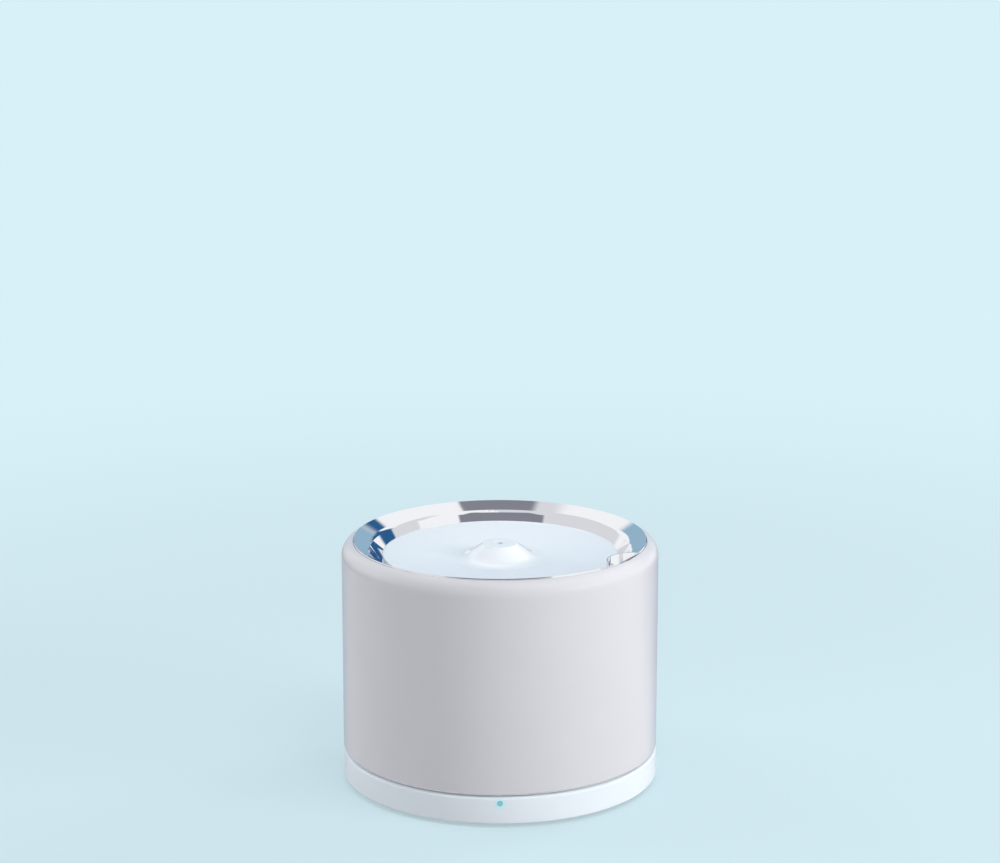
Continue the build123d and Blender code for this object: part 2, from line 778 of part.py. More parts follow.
def driver_posts():
    """Places of the posts under the driver board."""
    across = driver_length / 2 - driver_post_radius
    along = driver_depth / 2 - driver_post_radius
    return [(x, y) for x in (-across, across) for y in (-along, along)]


def receiver_coil():
    """Flat coil on the pump's floor that takes power from the base."""
    return flat_coil(receiver_outer, receiver_inner, pump_floor, receiver_top, 8)


def receiver_ferrite():
    """Ferrite sheet over the receiver coil."""
    return post(receiver_outer, receiver_top, receiver_ferrite_top)


def driver_board():
    """Circuit board that runs the motor."""
    parts_x = driver_parts_inset - driver_length / 2
    can_x = driver_can_inset - driver_length / 2
    board = block(driver_length, driver_depth, driver_bottom, driver_top)
    board += block(driver_chip, driver_chip, driver_top, driver_top + driver_chip_height, parts_x, 5)
    board += block(driver_switch_length, driver_switch_depth, driver_top, driver_top + driver_switch_height,
                   parts_x, -6)
    return board + post(driver_can_radius, driver_top, driver_top + driver_can_height, can_x, -9)


def volute_plan(grow):
    """Plan of the volute: the impeller's circle and a lobe under the spigot, joined."""
    lobe = volute_lobe_radius + grow
    neck = Pos(wheel_x / 2, 0) * Rectangle(wheel_x, 2 * lobe)
    return Pos(wheel_x, 0) * Circle(volute_radius + grow) + Circle(lobe) + neck


def volute_cup():
    """Cup that the impeller turns in, with the thin can around the rotor."""
    cup = Pos(0, 0, volute_floor - volute_wall) * extrude(volute_plan(volute_wall), volute_height + volute_wall)
    cup -= Pos(0, 0, volute_floor) * extrude(volute_plan(0), volute_height + 1)
    cup += post(can_radius, can_floor - can_wall, volute_floor - volute_wall / 2, wheel_x)
    return cup - post(can_radius - can_wall, can_floor, volute_floor + 1, wheel_x)


def volute_lid():
    """Lid of the volute, with the impeller's eye, its bridge and the outlet's socket."""
    top = volute_top + volute_lid_height
    lid = Pos(0, 0, volute_top) * extrude(volute_plan(volute_wall), volute_lid_height)
    lid -= post(volute_eye_radius, volute_top - 1, top + 1, wheel_x)
    lid -= post(spigot_radius + fit_gap, volute_top + volute_lid_height / 2, top + 1)
    lid -= post(spigot_bore, volute_top - 1, top + 1)
    lid += block(2 * volute_eye_radius + 1, 1.4, volute_top, top, wheel_x)
    lid += post(bush_radius, volute_top, top, wheel_x)
    return lid - post(shaft_radius + fit_gap, volute_top - 1, top - volute_lid_height / 3, wheel_x)


def impeller():
    """Wheel with straight vanes on a plate, moulded over the rotor's magnet."""
    radius = volute_radius - impeller_gap
    wheel = post(radius, impeller_bottom, impeller_bottom + impeller_plate, wheel_x)
    vane = Pos(radius / 2, 0, impeller_bottom) * Box(radius, impeller_vane, impeller_height, align=STANDING)
    pitch = 360 / impeller_vanes
    wheel += [Pos(wheel_x, 0, 0) * Rot(0, 0, turn * pitch) * vane for turn in range(impeller_vanes)]
    wheel &= post(radius, impeller_bottom, impeller_top, wheel_x)
    wheel += post(bush_radius + 1.0, impeller_bottom, impeller_top, wheel_x)
    wheel += post(magnet_radius, magnet_top, impeller_bottom + impeller_plate, wheel_x)
    return wheel - post(bush_radius + fit_gap, magnet_top - 1, impeller_top + 1, wheel_x)


def rotor_magnet():
    """Ring magnet under the impeller."""
    return ring(magnet_radius, bush_radius + fit_gap, magnet_bottom, magnet_top, wheel_x)


def impeller_shaft():
    """Fixed steel pin that the rotor turns on."""
    return post(shaft_radius, can_floor, volute_top + volute_lid_height / 2, wheel_x)


def shaft_bushes():
    """Two plain bushes pressed in the rotor."""
    bore = shaft_radius + fit_gap
    upper = ring(bush_radius, bore, impeller_top - bush_height, impeller_top, wheel_x)
    lower = ring(bush_radius, bore, magnet_bottom, magnet_bottom + bush_height, wheel_x)
    return Compound([upper, lower])


def stator_core():
    """Laminated core with teeth that reach to the can."""
    core = ring(stator_outer, stator_outer - stator_yoke, stator_bottom, stator_top, wheel_x)
    height = stator_top - stator_bottom
    tooth = Pos(0, 0, stator_bottom) * Box(stator_outer - 1, stator_tooth, height,
                                           align=(Align.MIN, Align.CENTER, Align.MIN))
    pitch = 360 / stator_teeth
    core += [Pos(wheel_x, 0, 0) * Rot(0, 0, turn * pitch) * tooth for turn in range(stator_teeth)]
    return core - post(can_radius + slip_gap, stator_bottom - 1, stator_top + 1, wheel_x)


def stator_coils():
    """Copper windings, one on each tooth."""
    inner = can_radius + slip_gap + 1.4
    length = stator_outer - stator_yoke - slip_gap - inner
    height = stator_top - stator_bottom
    winding = Box(length, stator_tooth + 2 * winding_height, height + 2 * winding_height)
    winding -= Box(length + 2, stator_tooth + 2 * fit_gap, height + 2 * fit_gap)
    place = Pos(inner + length / 2, 0, (stator_bottom + stator_top) / 2)
    pitch = 360 / stator_teeth
    return Compound([Pos(wheel_x, 0, 0) * Rot(0, 0, turn * pitch) * place * winding
                     for turn in range(stator_teeth)])


# ---------------------------------------------------------------- bowl, hub and collar
def bowl_line():
    """The bowl's outer surface, from its rim down to the middle of its floor."""
    return [
        (bowl_radius, bowl_rim - bowl_lip_edge),
        (bowl_lip_inner, bowl_lip_low, bowl_lip_round),
        (bowl_wall_foot, bowl_ledge, bowl_ledge_round),
        (bowl_well_top, bowl_ledge, bowl_step_round),
        (bowl_well_bottom, bowl_bottom, bowl_floor_round),
        (0, bowl_bottom),
    ]


def steel_bowl():
    """Spun steel bowl: flared lip, ledge for the filter, well with drain holes, refill notch."""
    line = bowl_line()
    bowl = turned(sheet_outline(line, -bowl_steel))
    filled = turned(line + [(0, bowl_rim), (bowl_radius, bowl_rim)])
    reach = bowl_radius - notch_depth + notch_radius
    x = reach * cos(radians(notch_angle))
    y = reach * sin(radians(notch_angle))
    low = bowl_ledge + bowl_steel
    bowl -= post(notch_radius, low, bowl_rim + 5, x, y)
    bowl += ring(notch_radius + bowl_steel, notch_radius, low, bowl_rim, x, y) & filled
    holes = [post(hub_tube_radius + slip_gap, bowl_bottom - 1, bowl_floor + 1)]
    for circle in drain_circles:
        count = round(2 * pi * circle / drain_pitch)
        holes += around(post(drain_radius, bowl_bottom - 1, bowl_floor + 1), circle, count)
    return bowl - holes


def bowl_hub():
    """Hub that clamps the bowl's floor and leads the water up to the disc's stem."""
    stem_seat = stem_bottom - 1.0
    stem_clear = stem_radius + slip_gap
    return turned([
        (hub_bore, hub_spout_bottom),
        (hub_spout_radius, hub_spout_bottom, 0.4),
        (hub_spout_radius, hub_thread_bottom),
        (hub_tube_radius, hub_thread_bottom, 0.4),
        (hub_tube_radius, hub_flange_bottom),
        (hub_flange_radius, hub_flange_bottom, 0.4),
        (hub_flange_radius, hub_flange_top, 0.6),
        (hub_tube_radius, hub_flange_top, 0.8),
        (hub_tube_radius, hub_top, 0.4),
        (stem_clear, hub_top, 0.3),
        (stem_clear, stem_seat),
        (hub_bore, stem_seat),
    ])


def hub_seal():
    """Rubber ring between the hub's flange and the bowl's floor."""
    outer = hub_flange_radius - 0.3
    return ring(outer, outer - hub_seal_section, bowl_floor, hub_flange_bottom)


def hub_collar():
    """Fluted nut that is turned by hand on the hub's thread, under the bowl."""
    crown_bottom = bowl_bottom - collar_crown
    collar = turned([
        (hub_tube_radius + fit_gap, crown_bottom),
        (collar_cavity_radius, crown_bottom, 1.0),
        (collar_cavity_radius, collar_bottom),
        (collar_radius, collar_bottom, 0.4),
        (collar_radius, bowl_bottom, 0.6),
        (hub_tube_radius + fit_gap, bowl_bottom),
    ])
    flute_middle = collar_radius + collar_flute_radius - collar_flute_depth
    groove = post(collar_flute_radius, collar_bottom + collar_notch_height * 0.5, bowl_bottom - 2.0)
    collar -= around(groove, flute_middle, collar_flutes)
    arch = collar_notch_width / 2
    notch = Box(collar_radius, collar_notch_width, 2 * (collar_notch_height - arch),
                align=(Align.MIN, Align.CENTER, Align.CENTER))
    notch += Pos(0, 0, collar_notch_height - arch) * Rot(0, 90, 0) * Cylinder(
        arch, collar_radius, align=STANDING)
    notch = Pos(collar_cavity_radius - 2, 0, collar_bottom) * notch
    pitch = 360 / collar_notches
    return collar - [Rot(0, 0, collar_notch_turn + turn * pitch) * notch for turn in range(collar_notches)]


def nozzle_sleeve():
    """Soft sleeve from the hub's spout down over the pump's spigot."""
    top = hub_thread_bottom - fit_gap
    spout_seat = hub_spout_bottom - fit_gap
    spigot_seat = spigot_top + 1.0
    return turned([
        (sleeve_radius, sleeve_bottom, 0.5),
        (sleeve_radius, top, 0.4),
        (hub_spout_radius + fit_gap, top),
        (hub_spout_radius + fit_gap, spout_seat),
        (hub_bore, spout_seat),
        (hub_bore, spigot_seat + 0.8),
        (spigot_radius + spigot_gap, spigot_seat),
        (spigot_radius + spigot_gap, sleeve_bottom),
    ])


# ---------------------------------------------------------------- filter
def filter_cover():
    """Satin cover with a shallow crown, a lip and the drum that holds the media."""
    inner_top = cover_lip_top - cover_plate
    drum_low = drum_radius - drum_draft
    return turned([
        (cover_hole_radius, cover_top, 0.4),
        (cover_radius, cover_lip_top, 0.35),
        (cover_radius, cover_lip_top - cover_lip, 0.5),
        (drum_radius, cover_lip_top - cover_lip, 0.4),
        (drum_low, drum_bottom, 0.8),
        (drum_low - drum_wall, drum_bottom),
        (drum_radius - drum_wall, inner_top, 0.6),
        (filter_tube_outer, inner_top),
        (filter_tube_outer, drum_bottom + tray_plate),
        (filter_tube_inner, drum_bottom + tray_plate),
        (filter_tube_inner, inner_top),
        (cover_hole_radius, inner_top),
    ])


def filter_tray():
    """Perforated tray that snaps into the drum from below."""
    hole = post(tray_hole_radius, drum_bottom - 1, tray_top + 1)
    last_circle = tray_radius - tray_hole_margin - tray_hole_radius
    spacing = (last_circle - tray_first_circle) / (tray_circles - 1)
    holes = []
    for circle in range(tray_circles):
        holes += around(hole, tray_first_circle + circle * spacing, tray_first_holes + circle * tray_more_holes)
    return ring(tray_radius, filter_tube_inner, drum_bottom, tray_top) - holes


def filter_cotton():
    """Pad of cotton felt on the tray."""
    return ring(tray_radius, filter_tube_outer + slip_gap, tray_top, media_split)


def filter_carbon():
    """Layer of carbon granules over the felt."""
    return ring(tray_radius, filter_tube_outer + slip_gap, media_split, media_top)


# ---------------------------------------------------------------- spray disc
def cone_line():
    """Upper surface of the trumpet cone, from its flat top out to the dish's foot."""
    rise = cone_top - disc_dish
    width = cone_foot_radius - cone_top_radius
    return Spline(
        (cone_top_radius, cone_top),
        (cone_top_radius + width * 0.20, cone_top - rise * 0.36),
        (cone_top_radius + width * 0.45, disc_dish + rise * 0.20),
        (cone_foot_radius, disc_dish),
        tangents=((1, -1.1), (1, 0.05)),
    )


def spray_disc():
    """Glossy dish with a trumpet cone in its middle."""
    edge = FilletPolyline(
        (cone_foot_radius, disc_dish),
        (disc_radius - disc_rim_width, disc_top),
        (disc_radius, disc_top),
        (disc_radius, disc_split),
        (disc_lower_radius, disc_split),
        (cone_foot_radius, stem_top),
        (outlet_radius + fit_gap, stem_top),
        (outlet_radius + fit_gap, cone_top),
        (cone_top_radius, cone_top),
        radius=(disc_rim_width / 2, disc_edge_round / 2, disc_edge_round / 2, 0, 0, 0, 0.4),
    )
    return revolve(Plane.XZ * make_face([*cone_line().edges(), *edge.edges()]), Axis.Z)


def disc_underplate():
    """Lower layer of the disc, rounded under its edge, with the boss that rests on the cover."""
    bore = stem_radius + fit_gap
    middle = disc_bottom - disc_sink
    return turned([
        (bore, cover_top + rest_gap),
        (disc_boss_radius, cover_top + rest_gap),
        (disc_boss_radius, middle),
        (cone_foot_radius, middle, 2.0),
        (disc_lower_radius, disc_bottom, disc_lower_round),
        (disc_lower_radius, disc_split),
        (cone_foot_radius, stem_top),
        (bore, stem_top),
    ])


def disc_stem():
    """Clear threaded stem that plugs into the hub."""
    core = stem_radius - stem_thread
    first = stem_bottom + stem_pitch
    plain = disc_bottom - disc_sink - 1.0
    stem = post(core, stem_bottom, stem_top) + post(stem_radius, plain, stem_top)
    for turn in range(int((plain - first) / stem_pitch)):
        middle = first + turn * stem_pitch
        stem += turned([
            (core - 0.5, middle - stem_pitch * 0.3),
            (core, middle - stem_pitch * 0.3),
            (stem_radius, middle),
            (core, middle + stem_pitch * 0.3),
            (core - 0.5, middle + stem_pitch * 0.3),
        ])
    return stem - post(stem_bore, stem_bottom - 1, stem_top + 1)


def disc_outlet():
    """Small insert in the cone's top that shapes the spring of water."""
    outlet = post(outlet_radius, stem_top, cone_top - 0.2)
    outlet -= post(outlet_bore, stem_top - 1, cone_top)
    return outlet - post(stem_bore, stem_top - 1, cone_top - outlet_depth)


# ---------------------------------------------------------------- one STEP file for each piece
pieces = {
    "base_top_cover": base_top_cover,
    "base_bottom_cover": base_bottom_cover,
    "base_feet": base_feet,
    "base_screws": base_screws,
    "base_weight": base_weight,
    "transmitter_board": transmitter_board,
    "transmitter_ferrite": transmitter_ferrite,
    "transmitter_coil": transmitter_coil,
    "led_light_pipe": led_light_pipe,
    "power_socket": power_socket,
    "tank_outer_shell": tank_outer_shell,
    "tank_bottom_plate": tank_bottom_plate,
    "tank_pads": tank_pads,
    "tank_screws": tank_screws,
    "tank_rim_seal": tank_rim_seal,
    "tank_steel_liner": tank_steel_liner,
    "pump_upper_housing": pump_upper_housing,
    "pump_lower_housing": pump_lower_housing,
    "pump_housing_seal": pump_housing_seal,
    "pump_pads": pump_pads,
    "inlet_foam": inlet_foam,
    "receiver_coil": receiver_coil,
    "receiver_ferrite": receiver_ferrite,
    "driver_board": driver_board,
    "volute_cup": volute_cup,
    "volute_lid": volute_lid,
    "impeller": impeller,
    "rotor_magnet": rotor_magnet,
    "impeller_shaft": impeller_shaft,
    "shaft_bushes": shaft_bushes,
    "stator_core": stator_core,
    "stator_coils": stator_coils,
    "steel_bowl": steel_bowl,
    "bowl_hub": bowl_hub,
    "hub_seal": hub_seal,
    "hub_collar": hub_collar,
    "nozzle_sleeve": nozzle_sleeve,
    "filter_cover": filter_cover,
    "filter_tray": filter_tray,
    "filter_cotton": filter_cotton,
    "filter_carbon": filter_carbon,
    "spray_disc": spray_disc,
    "disc_underplate": disc_underplate,
    "disc_stem": disc_stem,
    "disc_outlet": disc_outlet,
}

os.makedirs("parts", exist_ok=True)
for name, make in pieces.items():
    export_step(make(), f"parts/{name}.step")
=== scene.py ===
"""Looks of the pet water fountain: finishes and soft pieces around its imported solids."""

import json
from math import cos, pi, radians, sin

import bmesh
import bpy
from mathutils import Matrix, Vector, noise

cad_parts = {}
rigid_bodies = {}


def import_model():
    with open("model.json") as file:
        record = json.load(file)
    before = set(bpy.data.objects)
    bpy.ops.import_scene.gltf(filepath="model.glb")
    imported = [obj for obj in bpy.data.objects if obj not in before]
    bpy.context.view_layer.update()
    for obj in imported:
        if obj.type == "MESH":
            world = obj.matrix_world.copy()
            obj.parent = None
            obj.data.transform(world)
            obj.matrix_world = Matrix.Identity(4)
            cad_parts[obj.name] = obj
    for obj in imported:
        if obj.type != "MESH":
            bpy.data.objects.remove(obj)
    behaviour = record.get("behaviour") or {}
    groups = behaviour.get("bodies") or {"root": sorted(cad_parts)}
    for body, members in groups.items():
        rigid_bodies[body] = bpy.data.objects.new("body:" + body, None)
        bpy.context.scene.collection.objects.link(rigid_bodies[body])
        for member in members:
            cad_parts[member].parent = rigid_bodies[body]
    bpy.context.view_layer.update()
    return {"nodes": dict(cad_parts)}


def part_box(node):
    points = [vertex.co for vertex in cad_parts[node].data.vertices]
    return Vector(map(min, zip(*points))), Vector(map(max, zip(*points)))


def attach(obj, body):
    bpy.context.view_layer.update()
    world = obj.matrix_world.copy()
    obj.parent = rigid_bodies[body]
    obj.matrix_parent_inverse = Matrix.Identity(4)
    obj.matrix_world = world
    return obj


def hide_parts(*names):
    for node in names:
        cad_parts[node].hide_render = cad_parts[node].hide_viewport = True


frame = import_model()


# ---------------------------------------------------------------- feet
# Four die-cut discs of grey rubber, stuck in shallow pockets under the base. Rubber is dull, with a
# fine even grain from its mould.
def linear(code):
    """An sRGB hex colour as linear red, green, blue, alpha."""
    shares = [int(code[place:place + 2], 16) / 255 for place in (1, 3, 5)]
    return [s / 12.92 if s <= 0.04045 else ((s + 0.055) / 1.055) ** 2.4 for s in shares] + [1.0]


def add(tree, kind, sockets=None, **settings):
    """Adds a node, sets what it is given, and links the sockets that are given another's output."""
    node = tree.nodes.new(kind)
    for name, value in settings.items():
        setattr(node, name, value)
    for name, value in (sockets or {}).items():
        if isinstance(value, bpy.types.NodeSocket):
            tree.links.new(value, node.inputs[name])
        else:
            node.inputs[name].default_value = value
    return node


def start(name):
    """A new material with an empty tree, and the place on the piece in its own frame, in metres."""
    material = bpy.data.materials.new(name)
    material.use_nodes = True
    tree = material.node_tree
    tree.nodes.clear()
    return material, tree, add(tree, "ShaderNodeTexCoord").outputs["Object"]


def close(tree, surface):
    """Ends a tree in its output."""
    add(tree, "ShaderNodeOutputMaterial", {"Surface": surface.outputs[0]})


def dress(material, *nodes):
    """Gives solids of the frame their finish."""
    for node in nodes:
        frame["nodes"][node].data.materials.clear()
        frame["nodes"][node].data.materials.append(material)


def moulded(name, fresh, shaded, roughness, grain_mm=0.9, relief_mm=0.01, **finish):
    """Moulded plastic or rubber: two close shades that drift over the part, and a fine grain.

    A mould's real grain is about a tenth of a millimetre. It is drawn coarser, so that it shows.
    """
    drift_mm, gloss_change = 35, 0.08
    material, tree, place = start(name)
    drift = add(tree, "ShaderNodeTexNoise", {"Vector": place, "Scale": 1000 / drift_mm, "Detail": 3.0})
    shade = add(tree, "ShaderNodeMix", {
        0: drift.outputs[0], 6: linear(fresh), 7: linear(shaded)}, data_type="RGBA")
    grain = add(tree, "ShaderNodeTexNoise", {"Vector": place, "Scale": 1000 / grain_mm, "Detail": 2.0})
    bump = add(tree, "ShaderNodeBump", {
        "Height": grain.outputs[0], "Distance": relief_mm / 1000, "Strength": 0.6})
    gloss = add(tree, "ShaderNodeMapRange", {
        "Value": drift.outputs[0], "From Min": 0.3, "From Max": 0.7,
        "To Min": roughness * (1 - gloss_change), "To Max": roughness * (1 + gloss_change)})
    sockets = {key.replace("_", " ").title(): value for key, value in finish.items()}
    close(tree, add(tree, "ShaderNodeBsdfPrincipled", {
        "Base Color": shade.outputs[2], "Roughness": gloss.outputs[0], "Normal": bump.outputs[0], **sockets}))
    return material


foot_rubber = moulded("neoprene rubber, die-cut", "#4A4D52", "#43464B", 0.78, grain_mm=1.1, relief_mm=0.03)
dress(foot_rubber, "base_feet")


# ---------------------------------------------------------------- base tray, ballast and screws
# White ABS tray with a matt, finely spark-eroded underside, a painted steel ring that weighs the
# base down, and plated pan-head screws.
tray_abs = moulded("ABS, moulded, spark-eroded", "#DDE6EC", "#D6DFE6", 0.55, grain_mm=0.8, relief_mm=0.02)
dress(tray_abs, "base_bottom_cover", "tank_bottom_plate")

# Dark paint of half gloss, with a little orange peel.
ballast_paint = moulded("epoxy paint on pressed steel", "#3A3D42", "#34373B", 0.5, grain_mm=1.6,
                        relief_mm=0.02)
dress(ballast_paint, "base_weight")


def machined(name, bright, dull, roughness, line_mm, run_mm, relief_mm, lie="Z"):
    """Bare metal with fine lines from its tool: they are line_mm apart and run_mm long.

    Real tool lines are a few hundredths of a millimetre apart. They are drawn coarser, so that they show.
    """
    gloss_change = 0.15
    material, tree, place = start(name)
    across, along = 1000 / line_mm, 1000 / run_mm
    stretch = {"X": (across, along, along), "Y": (along, across, along), "Z": (along, along, across)}[lie]
    lines_place = add(tree, "ShaderNodeMapping", {"Vector": place, "Scale": stretch}).outputs[0]
    lines = add(tree, "ShaderNodeTexNoise", {"Vector": lines_place, "Scale": 1.0, "Detail": 2.0})
    shade = add(tree, "ShaderNodeMix", {
        0: lines.outputs[0], 6: linear(bright), 7: linear(dull)}, data_type="RGBA")
    gloss = add(tree, "ShaderNodeMapRange", {
        "Value": lines.outputs[0], "From Min": 0.3, "From Max": 0.7,
        "To Min": roughness * (1 - gloss_change), "To Max": roughness * (1 + gloss_change)})
    bump = add(tree, "ShaderNodeBump", {
        "Height": lines.outputs[0], "Distance": relief_mm / 1000, "Strength": 0.5})
    close(tree, add(tree, "ShaderNodeBsdfPrincipled", {
        "Base Color": shade.outputs[2], "Metallic": 1.0, "Roughness": gloss.outputs[0],
        "Normal": bump.outputs[0]}))
    return material


# Bright zinc with a soft grey sheen.
screw_steel = machined("steel, cold-headed, zinc plated", "#C4C5C4", "#A9ABAB", 0.32, line_mm=0.5, run_mm=2.0,
                       relief_mm=0.01)
dress(screw_steel, "base_screws", "tank_screws")


# ---------------------------------------------------------------- transmitter board, coil and ferrite
# Glass-epoxy board under green solder mask with copper tracks, a flat coil of enamelled wire, and a
# sintered ferrite plate. All of it is closed in by the base.
def printed_board(name):
    """Solder mask over copper tracks, which show as a lighter grid with a low relief."""
    track_pitch_mm, track_relief_mm = 6, 0.03
    material, tree, place = start(name)
    tracks = add(tree, "ShaderNodeTexBrick", {
        "Vector": place, "Scale": 1000 / track_pitch_mm, "Mortar Size": 0.06, "Color1": linear("#0F5A3A"),
        "Color2": linear("#0D5236"), "Mortar": linear("#2B8A5C")})
    bump = add(tree, "ShaderNodeBump", {
        "Height": tracks.outputs["Fac"], "Distance": track_relief_mm / 1000, "Strength": 0.7})
    close(tree, add(tree, "ShaderNodeBsdfPrincipled", {
        "Base Color": tracks.outputs["Color"], "Roughness": 0.32, "Normal": bump.outputs[0],
        "Coat Weight": 0.4}))
    return material


dress(printed_board("glass epoxy, green solder mask"), "transmitter_board", "driver_board")
# Red-brown wire, whose turns lie side by side and catch the light in streaks.
# The streaks are partly painted highlight, as lighter and darker turns, and partly real, from relief and
# gloss.
wound_copper = machined("copper wire, enamelled, wound", "#B9683C", "#9A5230", 0.3, line_mm=0.4, run_mm=9.0,
                        relief_mm=0.04)
dress(wound_copper, "transmitter_coil", "receiver_coil", "stator_coils")
# Nearly black, with a dull, even grain.
sintered_ferrite = moulded("ferrite, sintered", "#2E2E30", "#252527", 0.45, grain_mm=0.5, relief_mm=0.01)
dress(sintered_ferrite, "transmitter_ferrite", "receiver_ferrite", "rotor_magnet")


# ---------------------------------------------------------------- indicator light
# A clear acrylic rod, pressed into the cover, brings the light of a cyan diode to the front of the
# base. Its end glows a little.
def light_rod():
    """Acrylic that is bluer at its lit outer end than inside."""
    lit_depth = 0.004
    material, tree, place = start("acrylic, clear, lit by a diode")
    depth = add(tree, "ShaderNodeSeparateXYZ", {"Vector": place}).outputs["Y"]
    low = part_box("led_light_pipe")[0]
    lit = add(tree, "ShaderNodeMapRange", {
        "Value": depth, "From Min": low.y, "From Max": low.y + lit_depth, "To Min": 1.0, "To Max": 0.0})
    rim = add(tree, "ShaderNodeMix", {
        0: lit.outputs[0], 6: linear("#C9E6EA"), 7: linear("#8CC3CB")}, data_type="RGBA")
    close(tree, add(tree, "ShaderNodeBsdfPrincipled", {
        "Base Color": rim.outputs[2], "Roughness": 0.12, "Emission Color": rim.outputs[2],
        "Emission Strength": 0.12}))
    return material


dress(light_rod(), "led_light_pipe")


# ---------------------------------------------------------------- base cover
# White ABS cover with a satin finish and a raised plateau, on which the tank is placed. Around the
# indicator a cyan glow is painted into the wall's colour and emission.
def cover_abs():
    """Satin ABS, faintly cool, with a painted glow around the indicator light."""
    halo_start, halo_end, halo_glow = 0.0014, 0.0042, 0.07
    drift_mm, grain_mm, relief_mm = 45, 0.9, 0.008
    material, tree, place = start("ABS, moulded, satin, cool white")
    low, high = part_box("led_light_pipe")
    lit_end = ((low.x + high.x) / 2, low.y, (low.z + high.z) / 2)
    apart = add(tree, "ShaderNodeVectorMath", {0: place, 1: lit_end}, operation="DISTANCE")
    halo = add(tree, "ShaderNodeMapRange", {
        "Value": apart.outputs["Value"], "From Min": halo_start, "From Max": halo_end,
        "To Min": 1.0, "To Max": 0.0}, interpolation_type="SMOOTHSTEP")
    drift = add(tree, "ShaderNodeTexNoise", {"Vector": place, "Scale": 1000 / drift_mm, "Detail": 3.0})
    shade = add(tree, "ShaderNodeMix", {
        0: drift.outputs[0], 6: linear("#E8F0F5"), 7: linear("#E3EDF3")}, data_type="RGBA")
    # painted glow: near the indicator the cover's colour turns cyan, and it gives off a little light there
    painted_glow_colour = add(tree, "ShaderNodeMix", {
        0: halo.outputs[0], 6: shade.outputs[2], 7: linear("#C4EEF6")}, data_type="RGBA")
    grain = add(tree, "ShaderNodeTexNoise", {"Vector": place, "Scale": 1000 / grain_mm, "Detail": 2.0})
    bump = add(tree, "ShaderNodeBump", {
        "Height": grain.outputs[0], "Distance": relief_mm / 1000, "Strength": 0.5})
    glow = add(tree, "ShaderNodeMath", {0: halo.outputs[0], 1: halo_glow}, operation="MULTIPLY")
    close(tree, add(tree, "ShaderNodeBsdfPrincipled", {
        "Base Color": painted_glow_colour.outputs[2], "Roughness": 0.38, "Normal": bump.outputs[0],
        "Emission Color": linear("#7FE3F2"), "Emission Strength": glow.outputs[0]}))
    return material


dress(cover_abs(), "base_top_cover")


# ---------------------------------------------------------------- wireless mark on the plateau
# Low moulded arcs, the common sign for wireless power, stand out of the plateau's plate by a seventh
# of a millimetre. They are of the cover's own plastic, and a pale grey on them is painted shade.
mark_radii = (0.0085, 0.0130, 0.0175)
mark_width = 0.0011
mark_relief = 0.00014
mark_reach = radians(38)
mark_steps = 20
mark_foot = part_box("base_top_cover")[1].z - 0.00002   # a little inside the plateau's plate
dot_radius = 0.0010
dot_place = 0.0026
dot_steps = 24


def raised_arc(mesh, radius, middle):
    """A flat ribbon with bevelled sides, on an arc about the plateau's centre."""
    sides = [(-0.5, 0.0), (-0.28, 1.0), (0.28, 1.0), (0.5, 0.0)]   # shares of its width and relief
    rows = []
    for step in range(mark_steps + 1):
        turn = middle - mark_reach + 2 * mark_reach * step / mark_steps
        rows.append([mesh.verts.new((
            (radius + across * mark_width) * cos(turn), (radius + across * mark_width) * sin(turn),
            mark_foot + up * mark_relief)) for across, up in sides])
    for row, following in zip(rows, rows[1:]):
        for side in range(3):
            mesh.faces.new((row[side], row[side + 1], following[side + 1], following[side]))
        mesh.faces.new((row[3], row[0], following[0], following[3]))
    mesh.faces.new(rows[0][::-1])
    mesh.faces.new(rows[-1])


def raised_dot(mesh, x):
    """A low round stud with a bevelled edge."""
    turns = [2 * pi * step / dot_steps for step in range(dot_steps)]
    rings = [[mesh.verts.new((
        x + dot_radius * share * cos(turn), dot_radius * share * sin(turn), mark_foot + up * mark_relief))
        for turn in turns] for share, up in ((1.0, 0.0), (0.75, 1.0))]
    for step in range(dot_steps):
        after = (step + 1) % dot_steps
        mesh.faces.new((rings[0][step], rings[0][after], rings[1][after], rings[1][step]))
    mesh.faces.new(rings[1])
    mesh.faces.new(rings[0][::-1])


def shown(mesh, name, material, body, smooth=True):
    """Turns a bmesh into a piece that rides on a body."""
    bmesh.ops.recalc_face_normals(mesh, faces=mesh.faces)
    data = bpy.data.meshes.new(name)
    mesh.to_mesh(data)
    mesh.free()
    piece = bpy.data.objects.new(name, data)
    bpy.context.scene.collection.objects.link(piece)
    data.materials.append(material)
    data.polygons.foreach_set("use_smooth", [smooth] * len(data.polygons))
    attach(piece, body)
    return piece


mark = bmesh.new()
for radius in mark_radii:
    for middle in (0.0, pi):
        raised_arc(mark, radius, middle)
for x in (-dot_place, dot_place):
    raised_dot(mark, x)
# Painted shade: a pale grey, a shade darker than the cover, on the low arcs.
mark_shade_paint = moulded("ABS, moulded, painted shade, pale grey", "#BECAD5", "#B9C6D1", 0.4)
shown(mark, "wireless_mark", mark_shade_paint, "base", smooth=False)


# ---------------------------------------------------------------- power inlet
# A drawn and nickel-plated steel shell around a moulded contact tongue, set in the rear of the base.
# The plating gives a warm grey shine with lines from the drawing.
inlet_nickel = machined("steel, drawn, nickel plated", "#C9C8C4", "#B3B2AE", 0.25, line_mm=0.4, run_mm=3.0,
                        relief_mm=0.01, lie="X")
dress(inlet_nickel, "power_socket")


# ---------------------------------------------------------------- tank
# A thick outer wall of white ABS with a pearly satin gloss, rolled over at the top, on four thin
# rubber pads. A dark soft ring lies under the liner's lip.
tank_abs = moulded("ABS, moulded, pearl satin", "#D5D6DA", "#D1D2D6", 0.34, grain_mm=1.4, relief_mm=0.006,
                   coat_weight=0.35, coat_roughness=0.16)
dress(tank_abs, "tank_outer_shell")
dress(foot_rubber, "tank_pads")
